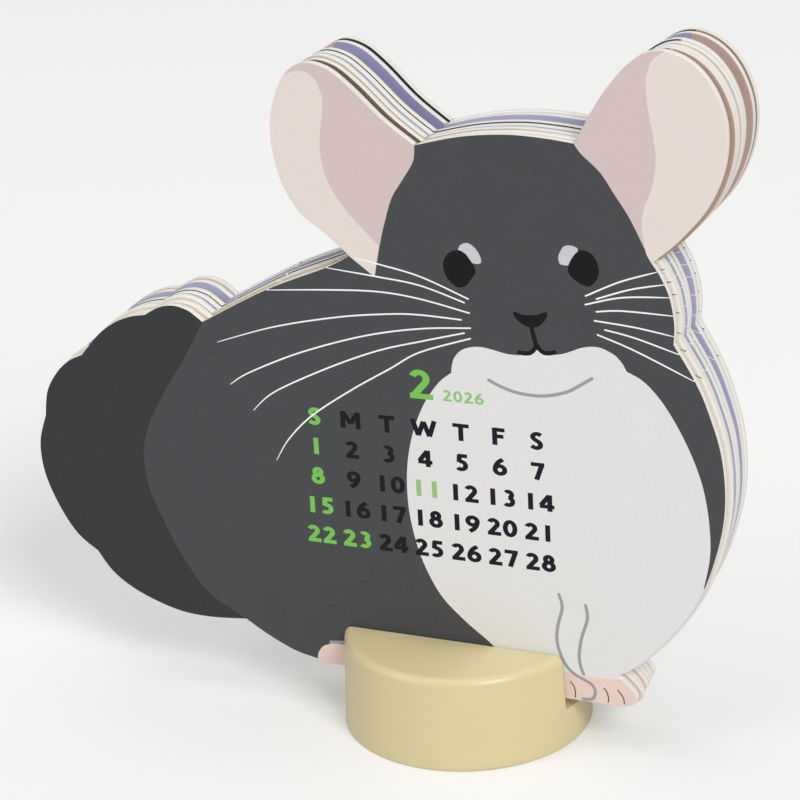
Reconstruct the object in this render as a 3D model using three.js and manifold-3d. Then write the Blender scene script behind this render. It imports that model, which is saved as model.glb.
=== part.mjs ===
// Desk calendar: seven thick die-cut month cards, shaped as a sitting chinchilla,
// standing one behind another in the slot of a small round base.
// Millimetres, +Z up. X runs along the card faces, -Y is the front.
// The origin is the middle of the base's underside.

import * as THREE from 'three';
import * as BufferGeometryUtils from 'three/addons/utils/BufferGeometryUtils.js';
import Module from 'manifold-3d';

// Base, a squat moulded puck with a little draft
const baseDiameter = 50;
const baseHeight = 19.4;
const baseDraft = 0.7;
const baseTopRound = 1.6;
const baseFootRound = 0.5;
const slotFloorHeight = 7.7;

// Month cards
const cardCount = 7;
const cardThickness = 1.65;
const cardWidth = 147;
const soleHeight = 2.1;
const tabInset = 4;
const seatClearance = 0.3;

// Each card leans back a little more than the one before it, and the last two stand well off
// from the rest. All but the first also tip sideways, on the right corner of their tab. Degrees.
// The cards are loose in the slot, so each stands a little to one side of the first. Millimetres.
const cardLeans = [0, 0.05, 0.15, 0.3, 0.5, 2, 2.3];
const cardTips = [0, 0.1, 0.45, 0.4, 0.35, 0.6, 0.65];
const cardShifts = [0, 0.6, -0.3, 0, -0.25, -0.5, -0.6];

// Facets
const baseFacets = 72;
const roundFacets = 5;
const outlineFacets = 3;

// The slot holds the whole pack, with one clearance round every card and room for the last to lean
const slotDepth = baseHeight - slotFloorHeight;
const packLean = THREE.MathUtils.degToRad(Math.max(...cardLeans));
const slotWidth = cardCount * cardThickness + (cardCount + 1) * seatClearance + slotDepth * Math.tan(packLean);
const cardSeatHeight = slotFloorHeight + seatClearance;
const baseRadius = baseDiameter / 2;
const tabHalfWidth = Math.sqrt(baseRadius ** 2 - (slotWidth / 2) ** 2) - tabInset;

// Outline of the figure, drawn from the front: x to the right of the base's middle and z above
// the tab's lower edge. A stretch is smooth through its points, and a corner lies between two.
const leftEar = [
  [-9.1, 117.1], [-15.6, 123.1], [-20.4, 126.4], [-25.4, 126.9], [-29.6, 123.2],
  [-32.3, 114.6], [-31.2, 105], [-27.6, 98.1], [-22.3, 94], [-17.5, 89.9],
];
const shoulder = [[-22.5, 87.1], [-35.7, 81.4], [-50, 73.5]];
const tailTufts = [
  [[-51.5, 74.6], [-53.3, 75.7], [-56.2, 76.3], [-59.4, 75.7], [-62.7, 73.8]],
  [[-66.1, 73.1], [-69.8, 71.5], [-73.6, 68.7], [-78, 63.8]],
  [[-81.2, 62.2], [-84.3, 59.3], [-86.9, 55], [-87.9, 49.6]],
];
const tailSide = [[-89.8, 43.6], [-89.5, 36.9], [-87, 30], [-83.2, 23.9], [-78.7, 20.4]];
const tailUnder = [[-75.2, 15.8], [-69.4, 12.1], [-61, 9.3], [-53.5, 8.8], [-45.4, 9.5]];
const flank = [[-40.6, 6.6], [-35, 4], [-30, 2.8]];
const leftHeel = [-27.6, soleHeight];
const rightHeel = [29.5, soleHeight];
const rightToes = [[34.5, 2.1], [37.4, 2.9], [38, 4.6], [36.4, 6.9], [34.3, 8.6]];
const belly = [
  [38.7, 11.6], [44.7, 18], [50.5, 26.6], [54.2, 36.6], [56, 46.6],
  [55.4, 57], [52.8, 66], [50.2, 71.9], [46.5, 78.1],
];
const cheek = [[46.7, 82], [45.9, 87], [44.2, 91], [42.6, 93.4]];
const rightEar = [
  [48.2, 98.4], [53.4, 104.9], [56.4, 112.4], [56.8, 120], [54.5, 126.6], [50.3, 131.2],
  [44.7, 133], [39.4, 130.8], [33.6, 124.1], [28.3, 115],
];
const crown = [[22.5, 115.6], [15, 115.8], [6, 114.8], [-2.9, 112.6]];

const outlineWidth = outlineReach(rightEar)[1] - outlineReach(tailSide)[0];
const figureScale = cardWidth / outlineWidth;

function outlineReach(points) {
  const across = points.map(([x]) => x);
  return [Math.min(...across), Math.max(...across)];
}

// The feet and the tab keep their height in the slot, and the figure above them scales with its width
function placed([x, z]) {
  return new THREE.Vector2(x * figureScale, soleHeight + (z - soleHeight) * figureScale);
}

function smoothThrough(shape, points) {
  shape.splineThru(points.map(placed));
}

// Closed outline of a card, anticlockwise from the corner between the left ear and the crown
function cardShape() {
  const shape = new THREE.Shape();
  const corner = placed(crown.at(-1));
  shape.moveTo(corner.x, corner.y);
  smoothThrough(shape, leftEar);
  smoothThrough(shape, shoulder);
  tailTufts.forEach((tuft) => smoothThrough(shape, tuft));
  smoothThrough(shape, tailSide);
  smoothThrough(shape, tailUnder);
  smoothThrough(shape, flank);
  shape.lineTo(leftHeel[0] * figureScale, soleHeight);
  shape.lineTo(-tabHalfWidth, soleHeight);
  shape.lineTo(-tabHalfWidth, 0);
  shape.lineTo(tabHalfWidth, 0);
  shape.lineTo(tabHalfWidth, soleHeight);
  shape.lineTo(rightHeel[0] * figureScale, soleHeight);
  smoothThrough(shape, rightToes);
  smoothThrough(shape, belly);
  smoothThrough(shape, cheek);
  smoothThrough(shape, rightEar);
  smoothThrough(shape, crown);
  return shape;
}

// A card standing upright, its back face on y = 0 and the right corner of its tab at the origin
function cardGeometry() {
  const geometry = new THREE.ExtrudeGeometry(cardShape(), {
    depth: cardThickness,
    bevelEnabled: false,
    curveSegments: outlineFacets,
  });
  geometry.rotateX(Math.PI / 2);
  geometry.translate(-tabHalfWidth, 0, 0);
  return geometry;
}

function makeCard(index, name, colour) {
  const material = new THREE.MeshStandardMaterial({ color: colour, roughness: 0.85, metalness: 0 });
  const card = new THREE.Mesh(cardGeometry(), material);
  const pitch = cardThickness + seatClearance;
  const lean = THREE.MathUtils.degToRad(cardLeans[index]);
  const tip = THREE.MathUtils.degToRad(cardTips[index]);
  card.name = name;
  card.position.set(
    tabHalfWidth + cardShifts[index],
    -slotWidth / 2 + pitch * (index + 1),
    cardSeatHeight,
  );
  card.rotation.set(-lean, tip, 0);
  return card;
}

// Half section of the solid base, from the axis out along the underside and up to the crown
function baseProfile() {
  const topRadius = baseRadius - baseDraft;
  const path = new THREE.Path();
  path.moveTo(0, 0);
  path.lineTo(baseRadius - baseFootRound, 0);
  path.quadraticCurveTo(baseRadius, 0, baseRadius, baseFootRound);
  path.lineTo(topRadius, baseHeight - baseTopRound);
  path.quadraticCurveTo(topRadius, baseHeight, topRadius - baseTopRound, baseHeight);
  path.lineTo(0, baseHeight);
  return path.getPoints(roundFacets);
}

function toManifold(wasm, geometry) {
  const bare = geometry.clone();
  bare.deleteAttribute('normal');
  bare.deleteAttribute('uv');
  const merged = BufferGeometryUtils.mergeVertices(bare, 1e-4);
  const vertProperties = new Float32Array(merged.attributes.position.array);
  const triVerts = new Uint32Array(merged.index.array);
  return new wasm.Manifold(new wasm.Mesh({ numProp: 3, vertProperties, triVerts }));
}

function fromManifold(solid) {
  const mesh = solid.getMesh();
  const geometry = new THREE.BufferGeometry();
  geometry.setAttribute('position', new THREE.BufferAttribute(mesh.vertProperties, 3));
  geometry.setIndex(new THREE.BufferAttribute(mesh.triVerts, 1));
  geometry.computeVertexNormals();
  return geometry;
}

// The round base with one straight slot cut right across it
function makeBase(wasm) {
  const puck = new THREE.LatheGeometry(baseProfile(), baseFacets);
  puck.rotateX(Math.PI / 2);
  const slot = new THREE.BoxGeometry(2 * baseDiameter, slotWidth, 2 * slotDepth);
  slot.translate(0, 0, baseHeight);
  const cut = toManifold(wasm, puck).subtract(toManifold(wasm, slot));
  const material = new THREE.MeshStandardMaterial({ color: 0xd9c99f, roughness: 0.42, metalness: 0 });
  const base = new THREE.Mesh(fromManifold(cut), material);
  base.name = 'base';
  return base;
}

const cardColours = [0x504f52, 0xcbb9a4, 0xb9b69a, 0x9aa3b4, 0x2d2c30, 0x8286b4, 0xe0dbd2];
const cardNames = [
  'front_card', 'second_card', 'third_card', 'fourth_card', 'fifth_card', 'sixth_card', 'back_card',
];

const wasm = await Module();
wasm.setup();

const calendar = new THREE.Group();
calendar.add(makeBase(wasm));
for (let index = 0; index < cardCount; index += 1) {
  calendar.add(makeCard(index, cardNames[index], cardColours[index]));
}

export default calendar;
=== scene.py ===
"""Desk calendar of thick die-cut month cards, standing in the slot of a small round base."""

import math

import bpy
import numpy as np
from mathutils import Matrix, Vector
from mathutils.geometry import delaunay_2d_cdt, tessellate_polygon


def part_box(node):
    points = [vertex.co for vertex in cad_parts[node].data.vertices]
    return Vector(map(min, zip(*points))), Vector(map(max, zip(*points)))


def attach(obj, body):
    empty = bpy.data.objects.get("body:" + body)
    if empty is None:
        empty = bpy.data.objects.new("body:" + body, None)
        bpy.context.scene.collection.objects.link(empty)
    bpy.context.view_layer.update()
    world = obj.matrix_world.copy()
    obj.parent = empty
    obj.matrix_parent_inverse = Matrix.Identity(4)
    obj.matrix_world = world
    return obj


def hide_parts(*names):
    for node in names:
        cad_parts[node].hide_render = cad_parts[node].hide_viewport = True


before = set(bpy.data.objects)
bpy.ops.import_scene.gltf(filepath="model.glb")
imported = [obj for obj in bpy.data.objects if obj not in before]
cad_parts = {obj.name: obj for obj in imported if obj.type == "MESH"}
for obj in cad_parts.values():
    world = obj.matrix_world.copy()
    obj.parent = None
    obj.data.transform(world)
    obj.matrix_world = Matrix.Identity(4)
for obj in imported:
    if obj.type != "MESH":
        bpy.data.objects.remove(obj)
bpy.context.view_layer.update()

MM = 0.001

# Table and backdrop
# One pale matt sheet that runs under the calendar and on behind it, out of the picture. It keeps the
# soft shadow of the base and the cards, and a faint lift, which lights nothing, makes it look paler.
TABLE_HALF_SIZE = 4.0
TABLE_COLOUR = (0.77, 0.769, 0.766)
TABLE_LIFT = 0.18


def table_sheet():
    """A single square in the plane z = 0."""
    s = TABLE_HALF_SIZE
    mesh = bpy.data.meshes.new("table")
    mesh.from_pydata([(-s, -s, 0), (s, -s, 0), (s, s, 0), (-s, s, 0)], [], [(0, 1, 2, 3)])
    obj = bpy.data.objects.new("table", mesh)
    bpy.context.scene.collection.objects.link(obj)
    return obj


table = table_sheet()
table_paint = bpy.data.materials.new("table_paint")
table_paint.use_nodes = True
nodes, links = table_paint.node_tree.nodes, table_paint.node_tree.links
nodes.clear()
matt = nodes.new("ShaderNodeBsdfDiffuse")
matt.inputs["Color"].default_value = TABLE_COLOUR + (1.0,)
glow = nodes.new("ShaderNodeEmission")
glow.inputs["Color"].default_value = (1.0, 1.0, 1.0, 1.0)
seen = nodes.new("ShaderNodeLightPath")
lift = nodes.new("ShaderNodeMath")
lift.operation = "MULTIPLY"
lift.inputs[1].default_value = TABLE_LIFT
both = nodes.new("ShaderNodeAddShader")
out = nodes.new("ShaderNodeOutputMaterial")
links.new(seen.outputs["Is Camera Ray"], lift.inputs[0])
links.new(lift.outputs[0], glow.inputs["Strength"])
links.new(matt.outputs[0], both.inputs[0])
links.new(glow.outputs[0], both.inputs[1])
links.new(both.outputs[0], out.inputs["Surface"])
table.data.materials.append(table_paint)

# Round base
# A squat puck moulded in pale yellow satin plastic, with a little draft, a rounded top edge and one
# straight slot cut right across it. It stands on its flat underside.
BASE_DRAFT = 0.7 * MM
BASE_TOP_ROUND = 1.6 * MM
BASE_FOOT_ROUND = 0.5 * MM
SLOT_EDGE_ROUND = 0.22 * MM
SEAT_CLEARANCE = 0.3 * MM
BASE_SIDES = 192
FOOT_STEPS = 7
TOP_STEPS = 15
UNDERSIDE_RING = 0.5
SIDE_RINGS = np.linspace(0.1, 0.9, 8)[:, None]
TOP_RINGS = np.array([0.6, 0.25])
SLOT_EDGE_STEPS = 3
SHARP_ANGLE = math.radians(50)

base_low, base_high = (np.array(c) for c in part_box("base"))
front_low, front_high = (np.array(c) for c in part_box("front_card"))
base_radius = (base_high[0] - base_low[0]) / 2
base_height = base_high[2]
slot_half_width = -(front_low[1] - SEAT_CLEARANCE)
slot_floor = front_low[2] - SEAT_CLEARANCE


def new_object(name, verts, faces):
    """A mesh object at the origin from an array of points and a list or array of faces."""
    mesh = bpy.data.meshes.new(name)
    mesh.from_pydata(np.asarray(verts, float).tolist(), [], [list(map(int, f)) for f in faces])
    mesh.update()
    obj = bpy.data.objects.new(name, mesh)
    bpy.context.scene.collection.objects.link(obj)
    return obj


def turned_form(profile, sides):
    """Each profile point (r, z) is swung round Z: (r cos a, r sin a, z), with a point on the axis at
    both ends, so the surface closes."""
    a = np.linspace(0, 2 * math.pi, sides, endpoint=False)
    ring = profile[1:-1]
    x = ring[:, 0, None] * np.cos(a)
    y = ring[:, 0, None] * np.sin(a)
    z = np.repeat(ring[:, 1, None], sides, axis=1)
    grid = np.stack([x, y, z], -1).reshape(-1, 3)
    verts = np.concatenate([grid, [[0, 0, profile[0, 1]], [0, 0, profile[-1, 1]]]])
    i = np.arange(sides)
    j = (i + 1) % sides
    rows = np.arange(len(ring) - 1)[:, None] * sides
    quads = np.stack([rows + i, rows + j, rows + sides + j, rows + sides + i], -1).reshape(-1, 4)
    foot, crown = len(grid), len(grid) + 1
    last = (len(ring) - 1) * sides
    low_fan = np.stack([np.full(sides, foot), j, i], -1)
    top_fan = np.stack([np.full(sides, crown), last + i, last + j], -1)
    return verts, quads.tolist() + low_fan.tolist() + top_fan.tolist()


def base_profile():
    """From the axis out along the underside, round the foot, up the draft, over the top edge and back
    to the axis. Each round is a quarter turn: centre plus radius times (cos, sin). The rings between
    lie at their shares of the radius or of the side."""
    foot = np.linspace(-math.pi / 2, 0, FOOT_STEPS)
    top = np.linspace(0, math.pi / 2, TOP_STEPS)
    top_radius = base_radius - BASE_DRAFT
    foot_arc = np.stack([base_radius - BASE_FOOT_ROUND * (1 - np.cos(foot)),
                         BASE_FOOT_ROUND * (1 + np.sin(foot))], -1)
    side_foot = np.array([base_radius, BASE_FOOT_ROUND])
    side_top = np.array([top_radius, base_height - BASE_TOP_ROUND])
    side = side_foot * (1 - SIDE_RINGS) + side_top * SIDE_RINGS
    top_arc = np.stack([top_radius - BASE_TOP_ROUND * (1 - np.cos(top)),
                        base_height - BASE_TOP_ROUND * (1 - np.sin(top))], -1)
    flat = np.stack([TOP_RINGS * top_radius, np.full(len(TOP_RINGS), base_height)], -1)
    under = [[0, 0], [UNDERSIDE_RING * base_radius, 0]]
    return np.concatenate([under, foot_arc, side, top_arc, flat, [[0, base_height]]])


def apply_modifiers(obj):
    """The object's mesh becomes what its modifiers make of it, and they go."""
    depsgraph = bpy.context.evaluated_depsgraph_get()
    finished = bpy.data.meshes.new_from_object(obj.evaluated_get(depsgraph))
    obj.modifiers.clear()
    obj.data = finished


base_piece = new_object("base_moulding", *turned_form(base_profile(), BASE_SIDES))
cutter_half = np.array([2 * base_radius, slot_half_width, base_height])
cutter_centre = np.array([0, 0, slot_floor + base_height])
signs = np.array([[x, y, z] for x in (-1, 1) for y in (-1, 1) for z in (-1, 1)])
cutter_faces = [(0, 1, 3, 2), (4, 6, 7, 5), (0, 4, 5, 1), (2, 3, 7, 6), (0, 2, 6, 4), (1, 5, 7, 3)]
cutter = new_object("slot_cutter", cutter_centre + signs * cutter_half, cutter_faces)
slot_cut = base_piece.modifiers.new("slot", "BOOLEAN")
slot_cut.object = cutter
slot_cut.operation = "DIFFERENCE"
slot_cut.solver = "EXACT"
apply_modifiers(base_piece)
bpy.data.objects.remove(cutter)
soft_edge = base_piece.modifiers.new("edges", "BEVEL")
soft_edge.width = SLOT_EDGE_ROUND
soft_edge.segments = SLOT_EDGE_STEPS
soft_edge.limit_method = "ANGLE"
soft_edge.angle_limit = SHARP_ANGLE
apply_modifiers(base_piece)
for polygon in base_piece.data.polygons:
    polygon.use_smooth = True


def linear(*srgb):
    """A colour written as it looks, in steps of 0 to 255, turned to linear light by the usual curve."""
    c = np.array(srgb, float) / 255.0
    low = c / 12.92
    high = ((c + 0.055) / 1.055) ** 2.4
    return tuple(float(v) for v in np.where(c <= 0.04045, low, high)) + (1.0,)


def add_noise(nodes, links, scale, detail, rough=0.5):
    """Noise read from the object's own coordinates, so it stays with the surface."""
    place = nodes.new("ShaderNodeTexCoord")
    noise = nodes.new("ShaderNodeTexNoise")
    noise.inputs["Scale"].default_value = scale
    noise.inputs["Detail"].default_value = detail
    noise.inputs["Roughness"].default_value = rough
    links.new(place.outputs["Object"], noise.inputs["Vector"])
    return noise


def satin_plastic(name, colour, deeper):
    """Moulded plastic: a faint drift of colour, a satin gloss that varies a little, and the fine
    orange peel of the mould."""
    mat = bpy.data.materials.new(name)
    mat.use_nodes = True
    nodes, links = mat.node_tree.nodes, mat.node_tree.links
    shader = nodes["Principled BSDF"]
    shader.inputs["IOR"].default_value = 1.49
    shader.inputs["Subsurface Weight"].default_value = 0.12
    shader.inputs["Subsurface Radius"].default_value = (0.9, 0.7, 0.3)
    shader.inputs["Subsurface Scale"].default_value = 0.0015
    drift = add_noise(nodes, links, 90, 3)
    tint = nodes.new("ShaderNodeMix")
    tint.data_type = "RGBA"
    tint.inputs[6].default_value = colour
    tint.inputs[7].default_value = deeper
    links.new(drift.outputs["Fac"], tint.inputs["Factor"])
    links.new(tint.outputs[2], shader.inputs["Base Color"])
    gloss = add_noise(nodes, links, 420, 4)
    spread = nodes.new("ShaderNodeMapRange")
    spread.inputs["To Min"].default_value = 0.28
    spread.inputs["To Max"].default_value = 0.38
    links.new(gloss.outputs["Fac"], spread.inputs["Value"])
    links.new(spread.outputs["Result"], shader.inputs["Roughness"])
    peel = add_noise(nodes, links, 1500, 2)
    bump = nodes.new("ShaderNodeBump")
    bump.inputs["Strength"].default_value = 0.10
    bump.inputs["Distance"].default_value = 0.00005
    links.new(peel.outputs["Fac"], bump.inputs["Height"])
    links.new(bump.outputs["Normal"], shader.inputs["Normal"])
    return mat


BASE_YELLOW = linear(223, 209, 163)
BASE_YELLOW_DEEP = linear(218, 203, 156)
base_piece.data.materials.clear()
base_piece.data.materials.append(satin_plastic("pale_yellow_plastic", BASE_YELLOW, BASE_YELLOW_DEEP))
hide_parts("base")
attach(base_piece, "root")

# Outline of the die-cut cards
# All the cards are stamped with one cutter: two round ears, a cheek, a belly, two feet and a tufted
# tail. Measured from the front, x to the right and z above the tab's lower edge, in millimetres.
TAB_INSET = 4.0
SOLE_HEIGHT = 2.1
LEFT_EAR = [
    (-9.1, 117.1), (-15.6, 123.1), (-20.4, 126.4), (-25.4, 126.9), (-29.6, 123.2),
    (-32.3, 114.6), (-31.2, 105), (-27.6, 98.1), (-22.3, 94), (-17.5, 89.9),
]
SHOULDER = [(-22.5, 87.1), (-35.7, 81.4), (-50, 73.5)]
TAIL_TUFTS = [
    [(-51.5, 74.6), (-53.3, 75.7), (-56.2, 76.3), (-59.4, 75.7), (-62.7, 73.8)],
    [(-66.1, 73.1), (-69.8, 71.5), (-73.6, 68.7), (-78, 63.8)],
    [(-81.2, 62.2), (-84.3, 59.3), (-86.9, 55), (-87.9, 49.6)],
]
TAIL_SIDE = [(-89.8, 43.6), (-89.5, 36.9), (-87, 30), (-83.2, 23.9), (-78.7, 20.4)]
TAIL_UNDER = [(-75.2, 15.8), (-69.4, 12.1), (-61, 9.3), (-53.5, 8.8), (-45.4, 9.5)]
FLANK = [(-40.6, 6.6), (-35, 4), (-30, 2.8)]
LEFT_HEEL_X = -27.6
RIGHT_HEEL_X = 29.5
RIGHT_TOES = [(34.5, 2.1), (37.4, 2.9), (38, 4.6), (36.4, 6.9), (34.3, 8.6)]
BELLY_EDGE = [
    (38.7, 11.6), (44.7, 18), (50.5, 26.6), (54.2, 36.6), (56, 46.6),
    (55.4, 57), (52.8, 66), (50.2, 71.9), (46.5, 78.1),
]
CHEEK = [(46.7, 82), (45.9, 87), (44.2, 91), (42.6, 93.4)]
RIGHT_EAR = [
    (48.2, 98.4), (53.4, 104.9), (56.4, 112.4), (56.8, 120), (54.5, 126.6), (50.3, 131.2),
    (44.7, 133), (39.4, 130.8), (33.6, 124.1), (28.3, 115),
]
CROWN = [(22.5, 115.6), (15, 115.8), (6, 114.8), (-2.9, 112.6)]
STEPS = 8
SAME_PLACE = 1e-3

tab_half = math.sqrt(base_radius ** 2 - slot_half_width ** 2) / MM - TAB_INSET


def smooth(points, steps=STEPS, closed=False):
    """A curve through the points: on each span from p to q it is the cubic whose slope at either end
    is half the step between that end's two neighbours."""
    p = np.asarray(points, float)
    before = np.roll(p, 1, 0) if closed else np.concatenate([p[:1], p[:-1]])
    after = np.roll(p, -1, 0) if closed else np.concatenate([p[1:], p[-1:]])
    slope = (after - before) / 2
    q = np.roll(p, -1, 0)
    slope_q = np.roll(slope, -1, 0)
    spans = len(p) if closed else len(p) - 1
    t = (np.arange(steps) / steps)[None, :, None]
    a, b, m, n = (v[:spans, None, :] for v in (p, q, slope, slope_q))
    curve = (2 * a - 2 * b + m + n) * t ** 3 + (3 * b - 3 * a - 2 * m - n) * t ** 2 + m * t + a
    curve = curve.reshape(-1, 2)
    return curve if closed else np.concatenate([curve, p[-1:]])


def card_outline():
    """The closed outline, anticlockwise from the corner between the left ear and the crown. A stretch
    is smooth through its points, and a corner lies between two."""
    pen = CROWN[-1]
    parts = []
    for stretch in [LEFT_EAR, SHOULDER, *TAIL_TUFTS, TAIL_SIDE, TAIL_UNDER, FLANK]:
        parts.append(smooth([pen] + stretch))
        pen = stretch[-1]
    parts.append(np.array([
        (LEFT_HEEL_X, SOLE_HEIGHT), (-tab_half, SOLE_HEIGHT), (-tab_half, 0), (tab_half, 0),
        (tab_half, SOLE_HEIGHT), (RIGHT_HEEL_X, SOLE_HEIGHT),
    ]))
    pen = (RIGHT_HEEL_X, SOLE_HEIGHT)
    for stretch in (RIGHT_TOES, BELLY_EDGE, CHEEK, RIGHT_EAR, CROWN):
        parts.append(smooth([pen] + stretch))
        pen = stretch[-1]
    loop = np.concatenate(parts)
    apart = np.linalg.norm(loop - np.roll(loop, 1, 0), axis=1) > SAME_PLACE
    return loop[apart]


raw_outline = card_outline()
figure_scale = (front_high[0] - front_low[0]) / MM / np.ptp(raw_outline[:, 0])


def placed(points):
    """The figure grows from the soles to the card's real width: x and the height above the soles are
    both multiplied by the same scale."""
    foot = np.array([0, SOLE_HEIGHT])
    return foot + (np.asarray(points, float) - foot) * figure_scale


on_tab = np.isclose(np.abs(raw_outline[:, 0]), tab_half)
outline = np.where(on_tab[:, None], raw_outline, placed(raw_outline))

# Print of the cards
# The face is printed flat on the board: a grey coat, a darker tail, pink ears and feet, a white
# muzzle and belly, and lines for whiskers, chin and legs. Colours meet edge to edge, with no relief.
# A field that meets the card's edge runs on past it, and the edge cuts it.
EAR_LEFT_BORDER = [
    (-2.9, 112.6), (-3.3, 109.5), (-5.6, 105.8), (-8, 102.1), (-9.6, 97.5), (-10.9, 92.9), (-12.4, 86.1),
]
EAR_LEFT_PAST_EDGE = [(-17.5, 89.9), (-60, 86.5), (-60, 140), (0, 140)]
EAR_LEFT_RIM = [
    (-31, 122.5), (-28.4, 124.6), (-25.2, 125.5), (-22.7, 124.4), (-21.3, 121.6), (-21.1, 118.5),
    (-21.9, 114), (-22.1, 109.2), (-20.8, 104.1), (-17.5, 98.9), (-11.2, 92.4),
]
EAR_LEFT_RIM_PAST_EDGE = [(-12.4, 86.1), (-17.5, 89.9), (-60, 86.5), (-60, 140), (-40, 140)]
EAR_RIGHT_BORDER = [(28.3, 115), (29.7, 113.1), (33.1, 110), (35.8, 106), (38.8, 101.3), (42.6, 93.4)]
EAR_RIGHT_PAST_EDGE = [(70, 93.4), (70, 145), (20, 145)]
EAR_RIGHT_RIM = [
    (47, 133.5), (44.9, 132.4), (43.1, 130.8), (42.1, 127.2), (42.4, 122.4), (43.3, 117.3), (43.7, 112.7),
    (42.9, 107.8), (41.4, 104), (40.9, 101.5), (41, 98.6), (41.6, 95.2),
]
EAR_RIGHT_RIM_PAST_EDGE = [(42.6, 93.4), (70, 93.4), (70, 145), (48, 145)]
TAIL_BORDER = [
    (-50, 73.5), (-55.1, 64.8), (-59.8, 57.7), (-63.2, 51.8), (-65.1, 47.1), (-65.8, 42.6), (-65.2, 36.5),
    (-62.8, 29.9), (-58.9, 21.9), (-53.6, 14.5), (-45.4, 9.5),
]
TAIL_PAST_EDGE = [(-45, -12), (-110, -12), (-110, 95), (-60, 95)]
MUZZLE = [
    (2.4, 68.2), (2.6, 69.7), (3.2, 71.4), (4.7, 73), (6.7, 73.8), (8.7, 74), (11, 73.7), (13.5, 73.2),
    (15.7, 73.1), (17.7, 73.4), (19.1, 74), (19.9, 74.5), (20.7, 74.2), (22, 73.8), (24.4, 74.1),
    (26.4, 74.8), (28.4, 75.7), (30.4, 76.2), (32.3, 76.2), (34, 75.6), (35.4, 74.8), (36.6, 73.5),
    (37.4, 72),
]
BELLY_RIGHT = [
    (37.4, 72), (40.7, 70.3), (44.1, 66.7), (47.4, 61.4), (50.3, 55.1), (52.1, 49.1), (53, 42.5),
    (53, 36.1), (51.5, 28.6),
]
BELLY_PAST_EDGE = [(60, 26), (50, 2), (16, 2)]
BELLY_LEFT = [
    (16, 6), (10.1, 10.2), (7.4, 12.5), (2.7, 16.2), (-2, 21), (-5.5, 27.9), (-7.4, 35.2), (-8, 41.1),
    (-7.8, 47.1), (-6.8, 52.7), (-5.2, 57.6), (-3.1, 62), (-0.2, 66), (2.4, 68.2),
]
FOOT_LEFT = [(-29.8, 1), (-29.7, 3.6), (-29.2, 4.8), (-28.3, 5.9), (-27.2, 6.4), (-25.7, 6.8), (-18, 7.1)]
FOOT_LEFT_PAST_EDGE = [(-18, -2), (-30, -2)]
FOOT_RIGHT = [(14, 8.2), (23.5, 8), (25.2, 7.7), (27.2, 7.6), (32, 7.7), (34.4, 8), (42, 9.4)]
FOOT_RIGHT_PAST_EDGE = [(42, -2), (14, -2)]
EYES = [
    [(4.8, 92.9), (3, 92.2), (1.9, 90.6), (1.8, 89), (2.5, 87.1), (3.8, 85.9), (5, 85.5), (6.2, 86),
     (7.2, 87.2), (8.2, 88.7), (8.1, 89.8), (7.2, 91.2), (6.2, 92.4)],
    [(29.2, 94.9), (28, 94.1), (27.1, 92.8), (26.5, 91.3), (26.7, 90.1), (27.8, 89), (29.2, 88.2),
     (30.4, 88), (31.4, 88.6), (32.3, 89.9), (32.5, 91.4), (32, 93.2), (30.9, 94.5)],
]
GLINTS = [
    [(4.9, 92.6), (5.3, 93.8), (6.4, 94.4), (7.5, 94.2), (8.7, 93.1), (9.4, 91.6), (9.3, 90.7),
     (8.2, 90.5), (7, 90.9), (5.8, 91.8)],
    [(24.7, 93.2), (25.1, 94.3), (25.8, 95.3), (26.7, 95.6), (27.8, 95.5), (28.5, 95), (28.3, 93.6),
     (27.6, 92.4), (26.8, 91.8), (25.7, 91.7), (24.9, 92)],
]
NOSE = [
    (15.4, 81.5), (15.7, 80.7), (16.6, 79.8), (17.9, 79.1), (19.1, 78.9), (20.3, 79.2), (21.4, 80.2),
    (22.1, 81.3), (22.2, 82), (21.8, 82.2), (20.3, 81.6), (18.8, 81.3), (17.2, 81.3), (15.9, 81.7),
]
NOSE_STEM = [(18.9, 79.4), (19.4, 77), (19.95, 74.7)]
MOUTH = [
    [(16.4, 73.7), (17.4, 73.6), (18.5, 73.8), (19.3, 74.5), (19.8, 75.4)],
    [(20, 75.4), (20.5, 74.6), (21.3, 74.1), (22.3, 74.1), (23.4, 74.4)],
]
CHIN_LINE = [
    (10, 67.5), (12.2, 66.5), (15.2, 65.6), (18.2, 65.3), (20.7, 65.4), (23.2, 65.9), (26, 66.9),
    (28.2, 68.3), (30.6, 69.9),
]
LEG_LINES = [
    [(22.7, 24.5), (23.3, 21.8), (22.3, 17.8), (22, 15), (22.4, 12.5), (23.5, 9.8), (25.2, 7.9),
     (27.4, 6.8), (28.9, 6), (29.6, 4.7), (29.3, 3.3), (28.5, 2.7), (27.1, 2.6)],
    [(28.1, 22.9), (28.4, 20.1), (27.2, 16.2), (26.6, 13.1), (26.5, 11.3), (26.8, 9.4), (27.3, 8)],
    [(-26.6, 7), (-23.5, 7.4), (-19, 7.8)],
]
CLAW_LINES = [
    [(24.5, 6), (25.2, 5.1), (25.5, 3.9), (25.4, 2.7)],
    [(31.4, 5.6), (32, 4.8), (32.3, 3.5), (32.2, 2.7)],
    [(34.2, 5.6), (34.9, 4.8), (35.4, 3.8), (35.5, 2.8)],
]
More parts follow.
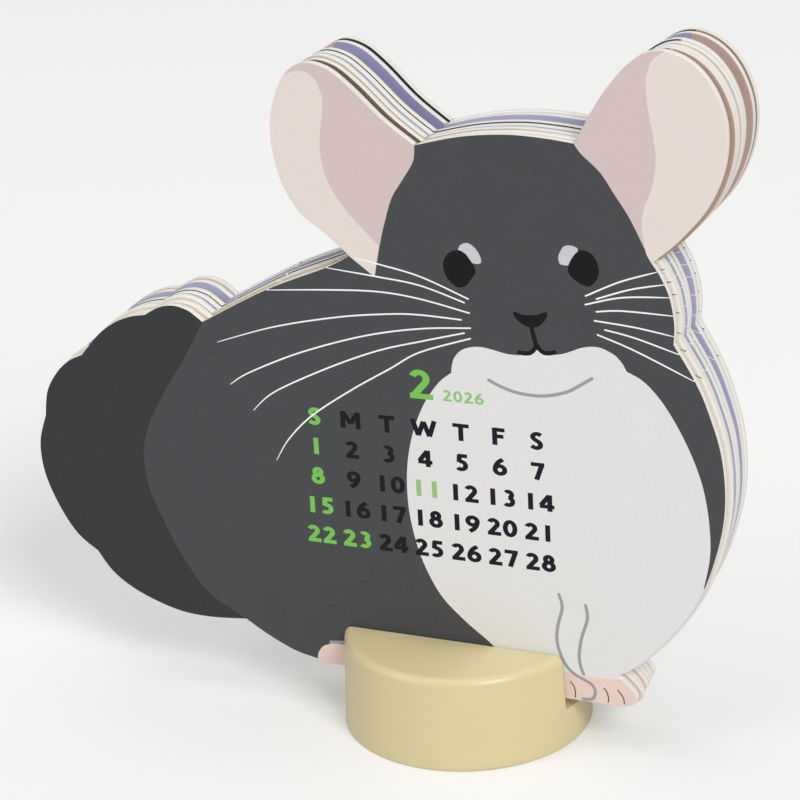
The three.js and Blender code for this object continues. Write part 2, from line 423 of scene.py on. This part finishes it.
WHISKERS = [
    [(6.5, 83.4), (-3.1, 87), (-11.8, 88.8), (-16.5, 89.6)],
    [(5.7, 82.6), (-3.2, 85.2), (-11.9, 86.2), (-22.5, 87.1)],
    [(6.6, 80.6), (-3.3, 82.5), (-12, 83.2), (-22.8, 82.6), (-35.8, 81.4)],
    [(4.9, 79.1), (-3.5, 79.3), (-9.7, 78.9), (-20.4, 77.3), (-34.3, 74), (-47, 69.6)],
    [(6.7, 77.6), (-3.6, 76.5), (-15.4, 73.9), (-29, 69.2), (-40.4, 63.9), (-44.9, 60.9)],
    [(5.4, 76.5), (-3.7, 73.9), (-12.8, 71.1), (-23.9, 66.3), (-35.3, 60.3), (-40.2, 55.9)],
    [(6.6, 75.5), (-3.9, 71.7), (-10.3, 67.7), (-18.6, 62.5), (-27.3, 56.3), (-32.7, 50.8), (-35.9, 45.7)],
    [(29.8, 86.1), (36.5, 89.4), (43.6, 91.9)],
    [(31.9, 85.7), (38.5, 88.1), (45, 89.6)],
    [(29.7, 84.4), (36.9, 86.4), (46, 87.2)],
    [(31.8, 83.2), (36.9, 83.8), (46.8, 83.7)],
    [(31.4, 81.4), (39.3, 80.8), (46.8, 79.7)],
    [(33.4, 79.8), (39.3, 78.7), (48, 76.2)],
    [(31.9, 78.7), (39.2, 76.2), (50.8, 71.2)],
]
EAR_LEFT_BACK = [
    (-25.5, 131), (-25.5, 124.4), (-20, 121.2), (-14, 116), (-9, 111.2), (-5.6, 108), (-2.9, 112.6),
    (-3, 118), (-12, 131),
]
EAR_RIGHT_BACK = [
    (28.3, 115), (31.8, 112.6), (35.8, 119.5), (39.6, 125.6), (43.4, 128.6), (45.2, 130.6), (45.4, 137),
    (30, 137), (22, 120),
]
WHISKER_WIDTH = 0.31
WHISKER_TAPER = 0.62
WHISKER_TAPER_FROM = 0.66
LINE_WIDTH = 0.66
CLAW_WIDTH = 0.24
NOSE_STEM_WIDTH = 0.92
MOUTH_WIDTH = 0.86
FEW_STEPS = 4
MANY_STEPS = 12
ROUND_END = np.linspace(0, math.pi, 7)[1:-1, None]


def path_directions(p, closed=False):
    """At each point of a path, one unit along it, from the step between its neighbours, and one unit
    to its left."""
    along = np.roll(p, -1, 0) - np.roll(p, 1, 0) if closed else np.gradient(p, axis=0)
    along /= np.linalg.norm(along, axis=1, keepdims=True)
    return along, np.stack([-along[:, 1], along[:, 0]], -1)


def ribbon(path, width, round_ends=True):
    """A band of even width along a path: each point plus and minus half the width to its left, with a
    half circle of points round each end. A path that ends where it starts makes a ring, its outer and
    inner loops joined by a seam of no width."""
    p = np.asarray(path, float)
    if np.allclose(p[0], p[-1]):
        p = p[:-1]
        side = path_directions(p, closed=True)[1] * width / 2
        outer, inner = p - side, p + side
        return np.concatenate([outer, outer[:1], inner[:1], inner[:0:-1], inner[:1]])
    along, left = path_directions(p)
    side = left * width / 2
    if not round_ends:
        return np.concatenate([p - side, (p + side)[::-1]])
    tip = p[-1] - side[-1] * np.cos(ROUND_END) + along[-1] * np.sin(ROUND_END) * width / 2
    heel = p[0] + side[0] * np.cos(ROUND_END) - along[0] * np.sin(ROUND_END) * width / 2
    return np.concatenate([p - side, tip, (p + side)[::-1], heel])


def whisker(points):
    """A whisker keeps its width and then runs out to a fine tip. Over the last third the width falls
    by a share that grows with the square of the way gone."""
    p = smooth(points, MANY_STEPS)
    t = np.linspace(0, 1, len(p))
    gone = np.clip((t - WHISKER_TAPER_FROM) / (1 - WHISKER_TAPER_FROM), 0, 1)
    half = WHISKER_WIDTH / 2 * (1 - WHISKER_TAPER * gone ** 2)
    along, left = path_directions(p)
    side = left * half[:, None]
    heel = p[0] + side[0] * np.cos(ROUND_END) - along[0] * np.sin(ROUND_END) * half[0]
    return np.concatenate([p - side, (p + side)[::-1], heel])


def figure_fields(behind):
    """The colour fields of the animal, in the order they are painted: (ink, closed outline). The cards
    behind the front one have a patch on each ear and no dates."""
    fields = [
        ("tail", np.concatenate([smooth(TAIL_BORDER), TAIL_PAST_EDGE])),
        ("ear", np.concatenate([smooth(EAR_LEFT_BORDER), EAR_LEFT_PAST_EDGE])),
        ("ear_rim", np.concatenate([smooth(EAR_LEFT_RIM), EAR_LEFT_RIM_PAST_EDGE])),
        ("ear", np.concatenate([smooth(EAR_RIGHT_BORDER), EAR_RIGHT_PAST_EDGE])),
        ("ear_rim", np.concatenate([smooth(EAR_RIGHT_RIM), EAR_RIGHT_RIM_PAST_EDGE])),
        ("belly", np.concatenate([smooth(MUZZLE, FEW_STEPS), smooth(BELLY_RIGHT)[1:], BELLY_PAST_EDGE,
                                  smooth(BELLY_LEFT)[:-1]])),
        ("foot", np.concatenate([smooth(FOOT_LEFT, FEW_STEPS), FOOT_LEFT_PAST_EDGE])),
        ("foot", np.concatenate([smooth(FOOT_RIGHT, FEW_STEPS), FOOT_RIGHT_PAST_EDGE])),
    ]
    if behind:
        fields += [("ear_back", np.array(EAR_LEFT_BACK)), ("ear_back", np.array(EAR_RIGHT_BACK))]
    fields += [("grey_line", ribbon(smooth(p), LINE_WIDTH)) for p in [CHIN_LINE] + LEG_LINES]
    fields += [("claw", ribbon(smooth(p), CLAW_WIDTH)) for p in CLAW_LINES]
    fields += [("glint", smooth(p, closed=True)) for p in GLINTS]
    fields += [("eye", smooth(p, closed=True)) for p in EYES]
    fields += [("eye", smooth(NOSE, closed=True))]
    fields += [("eye", ribbon(smooth(NOSE_STEM), NOSE_STEM_WIDTH, round_ends=False))]
    fields += [("eye", ribbon(smooth(p), MOUTH_WIDTH)) for p in MOUTH]
    if not behind:
        fields += month_page()
    return fields + [("whisker", whisker(p)) for p in WHISKERS]


# Dates
# The month's page is plain calendar lettering in a heavy sans: the weekday initials, four rows of
# dates with Sundays and holidays in green, and the month and year above. Each sign is a few strokes.
MONTH = "2"
MONTH_PLACE = (-4.05, 65.15)
MONTH_HEIGHT = 6.1
MONTH_STROKE = 0.235
YEAR = "2026"
YEAR_PLACE = (4.6, 63.4)
YEAR_HEIGHT = 2.33
YEAR_STROKE = 0.245
INITIALS = "SMTWTFS"
SIGN_HEIGHT = 3.52
SIGN_STROKE = 0.295
SIGN_CONTRAST = 1.3
SIGN_ADVANCE = 0.935
COLUMN_PITCH = 7.7
ROW_PITCH = 6.34
FIRST_COLUMN_X = -27.0
HEADER_Z = 56.1
HEADER_GAP = 6.25
GREEN_DATES = {1, 8, 11, 15, 22, 23}
DARK_GROUND_COLUMNS = (1, 2)
DAYS = 28


def arc(cx, cy, rx, ry, start, end, steps=14):
    """Part of an ellipse about (cx, cy), from start to end in degrees."""
    a = np.radians(np.linspace(start, end, steps))
    return np.stack([cx + rx * np.cos(a), cy + ry * np.sin(a)], -1)


def line(*points):
    """A straight or broken stroke."""
    return np.array(points, float)


def sign_strokes(sign):
    """The sign's width and the middle lines of its strokes, in a box one unit high. 9 is 6 turned half
    round."""
    six = [arc(0.42, 0.33, 0.28, 0.23, 0, 360, 33),
           smooth([(0.14, 0.36), (0.2, 0.57), (0.36, 0.79), (0.61, 0.96)], 5)]
    strokes = {
        "0": (0.82, [arc(0.41, 0.5, 0.28, 0.4, 0, 360, 37)]),
        "1": (0.82, [line((0.41, 0), (0.41, 0.98))]),
        "2": (0.82, [np.concatenate([arc(0.37, 0.685, 0.235, 0.215, 160, -28, 16), line((0.17, 0.12))]),
                     line((0.03, 0.1), (0.82, 0.1))]),
        "3": (0.76, [arc(0.35, 0.72, 0.2, 0.18, 140, -90, 18),
                     arc(0.34, 0.32, 0.255, 0.22, 90, -138, 20)]),
        "4": (0.86, [line((0.57, 0.94), (0.09, 0.33)), line((0.02, 0.28), (0.86, 0.28)),
                     line((0.6, 0), (0.6, 0.98))]),
        "5": (0.76, [line((0.15, 0.9), (0.69, 0.9)), line((0.235, 0.96), (0.2, 0.5)),
                     arc(0.3, 0.33, 0.28, 0.23, 112, -136, 20)]),
        "6": (0.82, six),
        "7": (0.8, [line((0.02, 0.9), (0.8, 0.9)), line((0.66, 0.9), (0.33, 0))]),
        "8": (0.82, [arc(0.41, 0.72, 0.19, 0.18, 0, 360, 29), arc(0.41, 0.32, 0.265, 0.22, 0, 360, 33)]),
        "9": (0.82, [(0.82, 1) - stroke for stroke in six]),
        "S": (0.74, [smooth([(0.63, 0.84), (0.47, 0.91), (0.31, 0.9), (0.18, 0.81), (0.17, 0.67),
                             (0.29, 0.56), (0.46, 0.47), (0.58, 0.36), (0.57, 0.2), (0.43, 0.1),
                             (0.26, 0.1), (0.07, 0.19)], 3)]),
        "M": (1.17, [line((0.13, 0), (0.13, 1)), line((0.17, 0.93), (0.585, 0.3)),
                     line((0.585, 0.3), (1, 0.93)), line((1.04, 1), (1.04, 0))]),
        "T": (0.96, [line((0, 0.9), (0.96, 0.9)), line((0.48, 0), (0.48, 0.92))]),
        "W": (1.56, [line((0.13, 1), (0.45, 0.05)), line((0.45, 0.05), (0.78, 0.9)),
                     line((0.78, 0.9), (1.11, 0.05)), line((1.11, 0.05), (1.43, 1))]),
        "F": (0.74, [line((0.15, 0), (0.15, 1)), line((0.1, 0.9), (0.74, 0.9)),
                     line((0.1, 0.52), (0.66, 0.52))]),
    }
    return strokes[sign]


def lettering(text, x, z, height, ink, stroke=SIGN_STROKE):
    """A word centred on (x, z). Figures share one advance. Each stroke becomes a flat band, drawn on a
    sheet that is stretched upwards and let go again, so level strokes come out thinner."""
    fields = []
    advance = SIGN_ADVANCE * height
    pen = x - advance * (len(text) - 1) / 2
    stretch = np.array([1, SIGN_CONTRAST])
    for sign in text:
        width, strokes = sign_strokes(sign)
        corner = np.array([pen - width * height / 2, z - height / 2])
        for path in strokes:
            band = ribbon(path * stretch, stroke, round_ends=False) / stretch
            fields.append((ink, corner + band * height))
        pen += advance
    return fields


def month_page():
    """The month and year, then the initials and the dates, each centred in its column."""
    fields = lettering(MONTH, *MONTH_PLACE, MONTH_HEIGHT, "green", MONTH_STROKE)
    fields += lettering(YEAR, *YEAR_PLACE, YEAR_HEIGHT, "pale_green", YEAR_STROKE)
    for column, initial in enumerate(INITIALS):
        x = FIRST_COLUMN_X + column * COLUMN_PITCH
        ink = "green" if column == 0 else "soot" if column in DARK_GROUND_COLUMNS else "navy"
        fields += lettering(initial, x, HEADER_Z, SIGN_HEIGHT, ink)
    for day in range(1, DAYS + 1):
        row, column = divmod(day - 1, len(INITIALS))
        x = FIRST_COLUMN_X + column * COLUMN_PITCH
        z = HEADER_Z - HEADER_GAP - row * ROW_PITCH
        ink = "soot" if column in DARK_GROUND_COLUMNS else "navy"
        if day in GREEN_DATES:
            ink = "pale_green" if column > max(DARK_GROUND_COLUMNS) else "green"
        fields += lettering(str(day), x, z, SIGN_HEIGHT, ink)
    return fields


# Cards
# Each card is a stiff white-core board with the print on its face. The cutter leaves its edge bare and
# creamy, with a slight roll at the face. The cards stand loose in the slot: each leans back a little
# more than the one before it, and those behind the first have tipped or slid a little to the side.
CARD_FINISHES = {
    "front_card": "card_front", "second_card": "card_beige", "third_card": "card_olive",
    "fourth_card": "card_blue_grey", "fifth_card": "card_black", "sixth_card": "card_violet",
    "back_card": "card_pale",
}
CARD_LEANS = np.radians([0, 0.05, 0.15, 0.3, 0.5, 2, 2.3])
CARD_TIPS = np.radians([0, 0.1, 0.45, 0.4, 0.35, 0.6, 0.65])
CARD_SHIFTS = [0, 0.6, -0.3, 0, -0.25, -0.5, -0.6]
EDGE_ROLL = 0.16
COAT_GRAIN = 0.2
PAPER_GRAIN = 0.035
ROLL_STEPS = 4
PRINTED_ROLL_STEPS = 3
DARK_INK_SUM = 400

card_thickness = (front_high[1] - front_low[1]) / MM


def inside(points, loop):
    """For each point, whether a ray to the right crosses the closed loop an odd number of times."""
    a, b = loop, np.roll(loop, -1, 0)
    x, y = points[:, 0, None], points[:, 1, None]
    spans = (a[:, 1] > y) != (b[:, 1] > y)
    rise = np.where(b[:, 1] == a[:, 1], 1e-12, b[:, 1] - a[:, 1])
    cross = a[:, 0] + (y - a[:, 1]) * (b[:, 0] - a[:, 0]) / rise
    return (np.sum(spans & (x < cross), axis=1) % 2).astype(bool)


def outward_normals(loop):
    """At each point of an anticlockwise loop, the mean of its two edges' outward normals, lengthened
    so that an offset by one keeps both edges one away."""
    edge = np.roll(loop, -1, 0) - loop
    edge /= np.linalg.norm(edge, axis=1, keepdims=True)
    after = np.stack([edge[:, 1], -edge[:, 0]], -1)
    before = np.roll(after, 1, 0)
    mean = after + before
    mean /= np.linalg.norm(mean, axis=1, keepdims=True)
    stretch = np.clip(np.sum(mean * after, axis=1, keepdims=True), 0.5, 1)
    return mean / stretch


def anticlockwise(tris, points):
    """The triangles, each wound anticlockwise: those whose two sides cross with a negative product are
    turned over."""
    across = points[tris[:, 1]] - points[tris[:, 0]]
    along = points[tris[:, 2]] - points[tris[:, 0]]
    turned = across[:, 0] * along[:, 1] - across[:, 1] * along[:, 0] < 0
    return np.where(turned[:, None], tris[:, ::-1], tris)


def painted_face(loop, fields, inks):
    """The face inside the loop, cut along the border of every colour field. Each triangle takes the ink
    of the last field that holds its middle. Gives points, triangles and inks, then the border in order
    and the ink beside each of its edges."""
    loops = [loop] + [f for _, f in fields]
    verts = np.concatenate(loops)
    starts = np.cumsum([0] + [len(l) for l in loops])
    edges = np.concatenate([
        np.stack([s + np.arange(len(l)), s + (np.arange(len(l)) + 1) % len(l)], -1)
        for s, l in zip(starts, loops)])
    found = delaunay_2d_cdt([Vector(v) for v in verts], edges.tolist(), [], 0, 1e-5, False)
    points = np.array([tuple(v) for v in found[0]])
    tris = np.array([list(f) for f in found[2]])
    tris = anticlockwise(tris[inside(points[tris].mean(axis=1), loop)], points)
    centres = points[tris].mean(axis=1)
    ink = np.full(len(tris), inks.index("coat"))
    for name, field in fields:
        ink[inside(centres, field)] = inks.index(name)
    sides = np.concatenate([tris[:, [0, 1]], tris[:, [1, 2]], tris[:, [2, 0]]])
    key = np.sort(sides, axis=1)
    _, first, count = np.unique(key, axis=0, return_index=True, return_counts=True)
    free = first[count == 1]
    rim = {a: (b, ink[f % len(tris)]) for (a, b), f in zip(sides[free].tolist(), free)}
    start = next(iter(rim))
    border, beside, at = [], [], start
    while not border or at != start:
        border.append(at)
        at, shade = rim[at]
        beside.append(shade)
    return points, tris, ink, np.array(border), np.array(beside)


def card_mesh(fields, inks):
    """A board: the painted face, a wall that rolls over from the face, drops by the thickness and rolls
    to the back, and the plain back. The wall is a profile (out, deep) carried along the border. The
    print goes over the first part of the roll. Points that no face uses are dropped."""
    inner = outline - outward_normals(outline) * EDGE_ROLL
    points, tris, ink, border, beside = painted_face(inner, fields, inks)
    rim = points[border]
    normal = outward_normals(rim)
    over = np.linspace(0, math.pi / 2, ROLL_STEPS + 1)[1:]
    front_roll = np.stack([EDGE_ROLL * np.sin(over), EDGE_ROLL * (1 - np.cos(over))], -1)
    under = over[::-1] - over[0]
    back_roll = np.stack([EDGE_ROLL * np.sin(under), card_thickness - EDGE_ROLL * (1 - np.cos(under))], -1)
    profile = np.concatenate([front_roll, back_roll])
    rings = rim[None] + normal[None] * profile[:, 0, None, None]
    deep = np.repeat(profile[:, 1, None], len(rim), axis=1)
    wall = np.stack([rings[..., 0], deep, rings[..., 1]], -1).reshape(-1, 3)
    face = np.stack([points[:, 0], np.zeros(len(points)), points[:, 1]], -1)
    verts = np.concatenate([face, wall])
    n = len(rim)
    ring_ids = np.concatenate([border[None], len(points) + np.arange(len(profile) * n).reshape(-1, n)])
    i, j = np.arange(n), (np.arange(n) + 1) % n
    quads = np.stack([ring_ids[1:, i], ring_ids[1:, j], ring_ids[:-1, j], ring_ids[:-1, i]], -1)
    back_rim = [Vector((x, z, 0)) for x, z in rings[-1]]
    back = np.array([list(t) for t in tessellate_polygon([back_rim])])
    back = ring_ids[-1][anticlockwise(back, rings[-1])[:, ::-1]]
    faces = tris.tolist() + quads.reshape(-1, 4).tolist() + back.tolist()
    wall_slots = np.full((len(profile), n), len(inks))
    wall_slots[:PRINTED_ROLL_STEPS] = beside
    slots = np.concatenate([ink, wall_slots.ravel(), np.full(len(back), len(inks) + 1)])
    used = np.unique(np.concatenate([np.ravel(f) for f in faces]))
    renumbered = np.zeros(len(verts), int)
    renumbered[used] = np.arange(len(used))
    return verts[used], [renumbered[f] for f in faces], slots


def stood_in_slot(local, number):
    """Each point of a card, counted from the front of the pack, is tipped sideways about its tab's
    right corner, leaned back about its rear lower edge, and set in its place in the slot."""
    tip, lean = CARD_TIPS[number], CARD_LEANS[number]
    x = local[:, 0] - tab_half
    y = local[:, 1] - card_thickness
    z = local[:, 2]
    x, z = x * math.cos(tip) + z * math.sin(tip), z * math.cos(tip) - x * math.sin(tip)
    y, z = y * math.cos(lean) + z * math.sin(lean), z * math.cos(lean) - y * math.sin(lean)
    pitch = card_thickness + SEAT_CLEARANCE / MM
    place = np.array([
        tab_half + CARD_SHIFTS[number],
        -slot_half_width / MM + pitch * (number + 1),
        front_low[2] / MM,
    ])
    return (np.stack([x, y, z], -1) + place) * MM


def printed_board(name, colour, grain):
    """Ink on fine-toothed board: the colour with a soft mottle and a fine speckle, a matt skin and a
    slight tooth. Grain is the share by which the colour strays up and down."""
    mat = bpy.data.materials.new(name)
    mat.use_nodes = True
    nodes, links = mat.node_tree.nodes, mat.node_tree.links
    shader = nodes["Principled BSDF"]
    shader.inputs["Specular IOR Level"].default_value = 0.25
    speckle = add_noise(nodes, links, 1900, 3, 0.65)
    mottle = add_noise(nodes, links, 140, 2)
    tooth = nodes.new("ShaderNodeMapRange")
    tooth.inputs["From Min"].default_value = 0.3
    tooth.inputs["From Max"].default_value = 0.7
    links.new(speckle.outputs["Fac"], tooth.inputs["Value"])
    share = nodes.new("ShaderNodeMix")
    share.data_type = "FLOAT"
    share.inputs["Factor"].default_value = 0.3
    links.new(tooth.outputs["Result"], share.inputs["A"])
    links.new(mottle.outputs["Fac"], share.inputs["B"])
    tint = nodes.new("ShaderNodeMix")
    tint.data_type = "RGBA"
    tint.inputs[6].default_value = tuple(c * (1 - grain) for c in colour[:3]) + (1.0,)
    tint.inputs[7].default_value = tuple(min(1.0, c * (1 + grain)) for c in colour[:3]) + (1.0,)
    links.new(share.outputs["Result"], tint.inputs["Factor"])
    links.new(tint.outputs[2], shader.inputs["Base Color"])
    spread = nodes.new("ShaderNodeMapRange")
    spread.inputs["To Min"].default_value = 0.62
    spread.inputs["To Max"].default_value = 0.78
    links.new(tooth.outputs["Result"], spread.inputs["Value"])
    links.new(spread.outputs["Result"], shader.inputs["Roughness"])
    bump = nodes.new("ShaderNodeBump")
    bump.inputs["Strength"].default_value = 0.15
    bump.inputs["Distance"].default_value = 0.00004
    links.new(tooth.outputs["Result"], bump.inputs["Height"])
    links.new(bump.outputs["Normal"], shader.inputs["Normal"])
    return mat


def cut_board_edge():
    """The bare edge of the board: creamy pulp in thin layers that run along the card."""
    mat = bpy.data.materials.new("cut_board_edge")
    mat.use_nodes = True
    nodes, links = mat.node_tree.nodes, mat.node_tree.links
    shader = nodes["Principled BSDF"]
    shader.inputs["Roughness"].default_value = 0.8
    shader.inputs["Specular IOR Level"].default_value = 0.25
    place = nodes.new("ShaderNodeTexCoord")
    squeeze = nodes.new("ShaderNodeMapping")
    squeeze.inputs["Scale"].default_value = (60, 2600, 60)
    layers = nodes.new("ShaderNodeTexNoise")
    layers.inputs["Scale"].default_value = 1.0
    layers.inputs["Detail"].default_value = 3
    links.new(place.outputs["Object"], squeeze.inputs["Vector"])
    links.new(squeeze.outputs["Vector"], layers.inputs["Vector"])
    tint = nodes.new("ShaderNodeMix")
    tint.data_type = "RGBA"
    tint.inputs[6].default_value = linear(234, 230, 222)
    tint.inputs[7].default_value = linear(246, 243, 238)
    links.new(layers.outputs["Fac"], tint.inputs["Factor"])
    links.new(tint.outputs[2], shader.inputs["Base Color"])
    bump = nodes.new("ShaderNodeBump")
    bump.inputs["Strength"].default_value = 0.35
    bump.inputs["Distance"].default_value = 0.00006
    links.new(layers.outputs["Fac"], bump.inputs["Height"])
    links.new(bump.outputs["Normal"], shader.inputs["Normal"])
    return mat


INKS = [
    "coat", "tail", "ear", "ear_rim", "ear_back", "belly", "foot", "grey_line", "claw", "glint", "eye",
    "whisker", "green", "pale_green", "navy", "soot",
]
COMMON_INKS = {
    "ear": (214, 195, 194), "ear_rim": (232, 220, 213), "belly": (229, 228, 227),
    "foot": (234, 210, 201), "grey_line": (158, 160, 163), "claw": (62, 48, 45),
    "glint": (204, 205, 209), "eye": (14, 14, 15), "whisker": (250, 250, 249),
    "green": (120, 196, 86), "pale_green": (150, 198, 122), "navy": (16, 18, 32), "soot": (18, 18, 20),
}
CARD_INKS = {
    "front_card": {"coat": (73, 74, 77), "tail": (54, 55, 57)},
    # The second card's ear rim is its own brown-pink darkened with painted shade: it shows only as the
    # narrow strip beside the front card's right ear, where shade falls between the cards.
    "second_card": {"coat": (240, 234, 226), "tail": (236, 222, 208), "ear_back": (118, 100, 90),
                    "ear": (214, 188, 170), "ear_rim": (184, 157, 140), "whisker": (112, 100, 92)},
    "third_card": {"coat": (206, 198, 178), "tail": (234, 228, 216), "ear_back": (214, 206, 186)},
    "fourth_card": {"coat": (188, 190, 210), "tail": (192, 194, 214), "ear_back": (198, 202, 216)},
    "fifth_card": {"coat": (80, 77, 77), "tail": (86, 86, 90), "ear_back": (52, 50, 52)},
    "sixth_card": {"coat": (188, 188, 216), "tail": (184, 186, 208), "ear_back": (158, 157, 194),
                   "ear": (205, 178, 170), "ear_rim": (196, 170, 160)},
    "back_card": {"coat": (244, 241, 235), "tail": (222, 208, 194), "ear_back": (60, 54, 55),
                  "ear": (182, 157, 144), "ear_rim": (172, 147, 131), "whisker": (70, 62, 58)},
}

edge_stock = cut_board_edge()
back_stock = printed_board("plain_board_back", linear(236, 234, 228), PAPER_GRAIN)
common_stock = {}
for ink, colour in COMMON_INKS.items():
    common_stock[ink] = printed_board("ink_" + ink, linear(*colour), PAPER_GRAIN)
for number, (node, finish) in enumerate(CARD_FINISHES.items()):
    fields = [(ink, placed(field)) for ink, field in figure_fields(behind=number > 0)]
    verts, faces, slots = card_mesh(fields, INKS)
    board = new_object(node + "_board", stood_in_slot(verts, number), faces)
    stock = dict(common_stock)
    for ink, colour in CARD_INKS[node].items():
        grain = COAT_GRAIN if sum(colour) < DARK_INK_SUM else PAPER_GRAIN
        stock[ink] = printed_board(node + "_" + ink, linear(*colour), grain)
    for ink in INKS:
        board.data.materials.append(stock.get(ink, back_stock))
    board.data.materials.append(edge_stock)
    board.data.materials.append(back_stock)
    board.data.polygons.foreach_set("material_index", slots.astype(np.int32))
    board.data.polygons.foreach_set("use_smooth", slots == len(INKS))
    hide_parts(node)
    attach(board, "root")

# Lights
# A large soft lamp from the front right above the camera, a weaker one from the front left, a small
# one overhead, and an even pale room, which looks paler than it shines.
ROOM_LIGHT = 0.352
ROOM_PALE = 0.86
LAMP_AIM = (0, 0, 0.06)

room = bpy.context.scene.world or bpy.data.worlds.new("room")
bpy.context.scene.world = room
room.use_nodes = True
air = room.node_tree.nodes["Background"]
air.inputs["Color"].default_value = (1.0, 1.0, 1.0, 1.0)
looked_at = room.node_tree.nodes.new("ShaderNodeLightPath")
paler = room.node_tree.nodes.new("ShaderNodeMapRange")
paler.inputs["To Min"].default_value = ROOM_LIGHT
paler.inputs["To Max"].default_value = ROOM_PALE
room.node_tree.links.new(looked_at.outputs["Is Camera Ray"], paler.inputs["Value"])
room.node_tree.links.new(paler.outputs["Result"], air.inputs["Strength"])


def soft_lamp(name, place, size, power):
    """A square lamp at a place, turned to face the middle of the cards."""
    data = bpy.data.lights.new(name, "AREA")
    data.energy = power
    data.size = size
    lamp = bpy.data.objects.new(name, data)
    bpy.context.scene.collection.objects.link(lamp)
    lamp.location = place
    lamp.rotation_euler = (Vector(LAMP_AIM) - Vector(place)).to_track_quat("-Z", "Y").to_euler()


soft_lamp("key_lamp", (3.5, -3.1, 3.6), 2.2, 196.0)
soft_lamp("fill_lamp", (-3.4, -3.4, 3.0), 2.6, 57.0)
soft_lamp("top_lamp", (-0.3, 0.1, 2.0), 1.5, 9.5)

# Camera
# Stands to the right and above, where the photograph was taken, fitted to the base and the date grid.
CAMERA_YAW = math.radians(23.96)
CAMERA_PITCH = math.radians(21.48)
CAMERA_ROLL = math.radians(-3.09)
CAMERA_TARGET = np.array([-11.61, 0.0, 66.66]) * MM
CAMERA_DISTANCE = 537.4 * MM
FOCAL_PIXELS = 2750.0
PICTURE_WIDTH = 800.0
SENSOR_WIDTH = 36.0


def camera_axes():
    """Right, up and back of the camera: swung round by the yaw, raised by the pitch and then rolled."""
    cy, sy = math.cos(CAMERA_YAW), math.sin(CAMERA_YAW)
    cp, sp = math.cos(CAMERA_PITCH), math.sin(CAMERA_PITCH)
    back = np.array([sy * cp, -cy * cp, sp])
    right = np.array([cy, sy, 0.0])
    up = np.cross(back, right)
    cr, sr = math.cos(CAMERA_ROLL), math.sin(CAMERA_ROLL)
    return right * cr + up * sr, up * cr - right * sr, back


right, up, back = camera_axes()
lens = bpy.data.cameras.new("camera")
lens.sensor_width = SENSOR_WIDTH
lens.lens = FOCAL_PIXELS * SENSOR_WIDTH / PICTURE_WIDTH
lens.clip_start = 0.01
camera = bpy.data.objects.new("camera", lens)
bpy.context.scene.collection.objects.link(camera)
stand = CAMERA_TARGET + back * CAMERA_DISTANCE
axes_and_place = np.stack([right, up, back, stand], -1)
camera.matrix_world = Matrix(axes_and_place.tolist() + [[0, 0, 0, 1]])
bpy.context.scene.camera = camera
bpy.context.scene.view_settings.view_transform = "Standard"
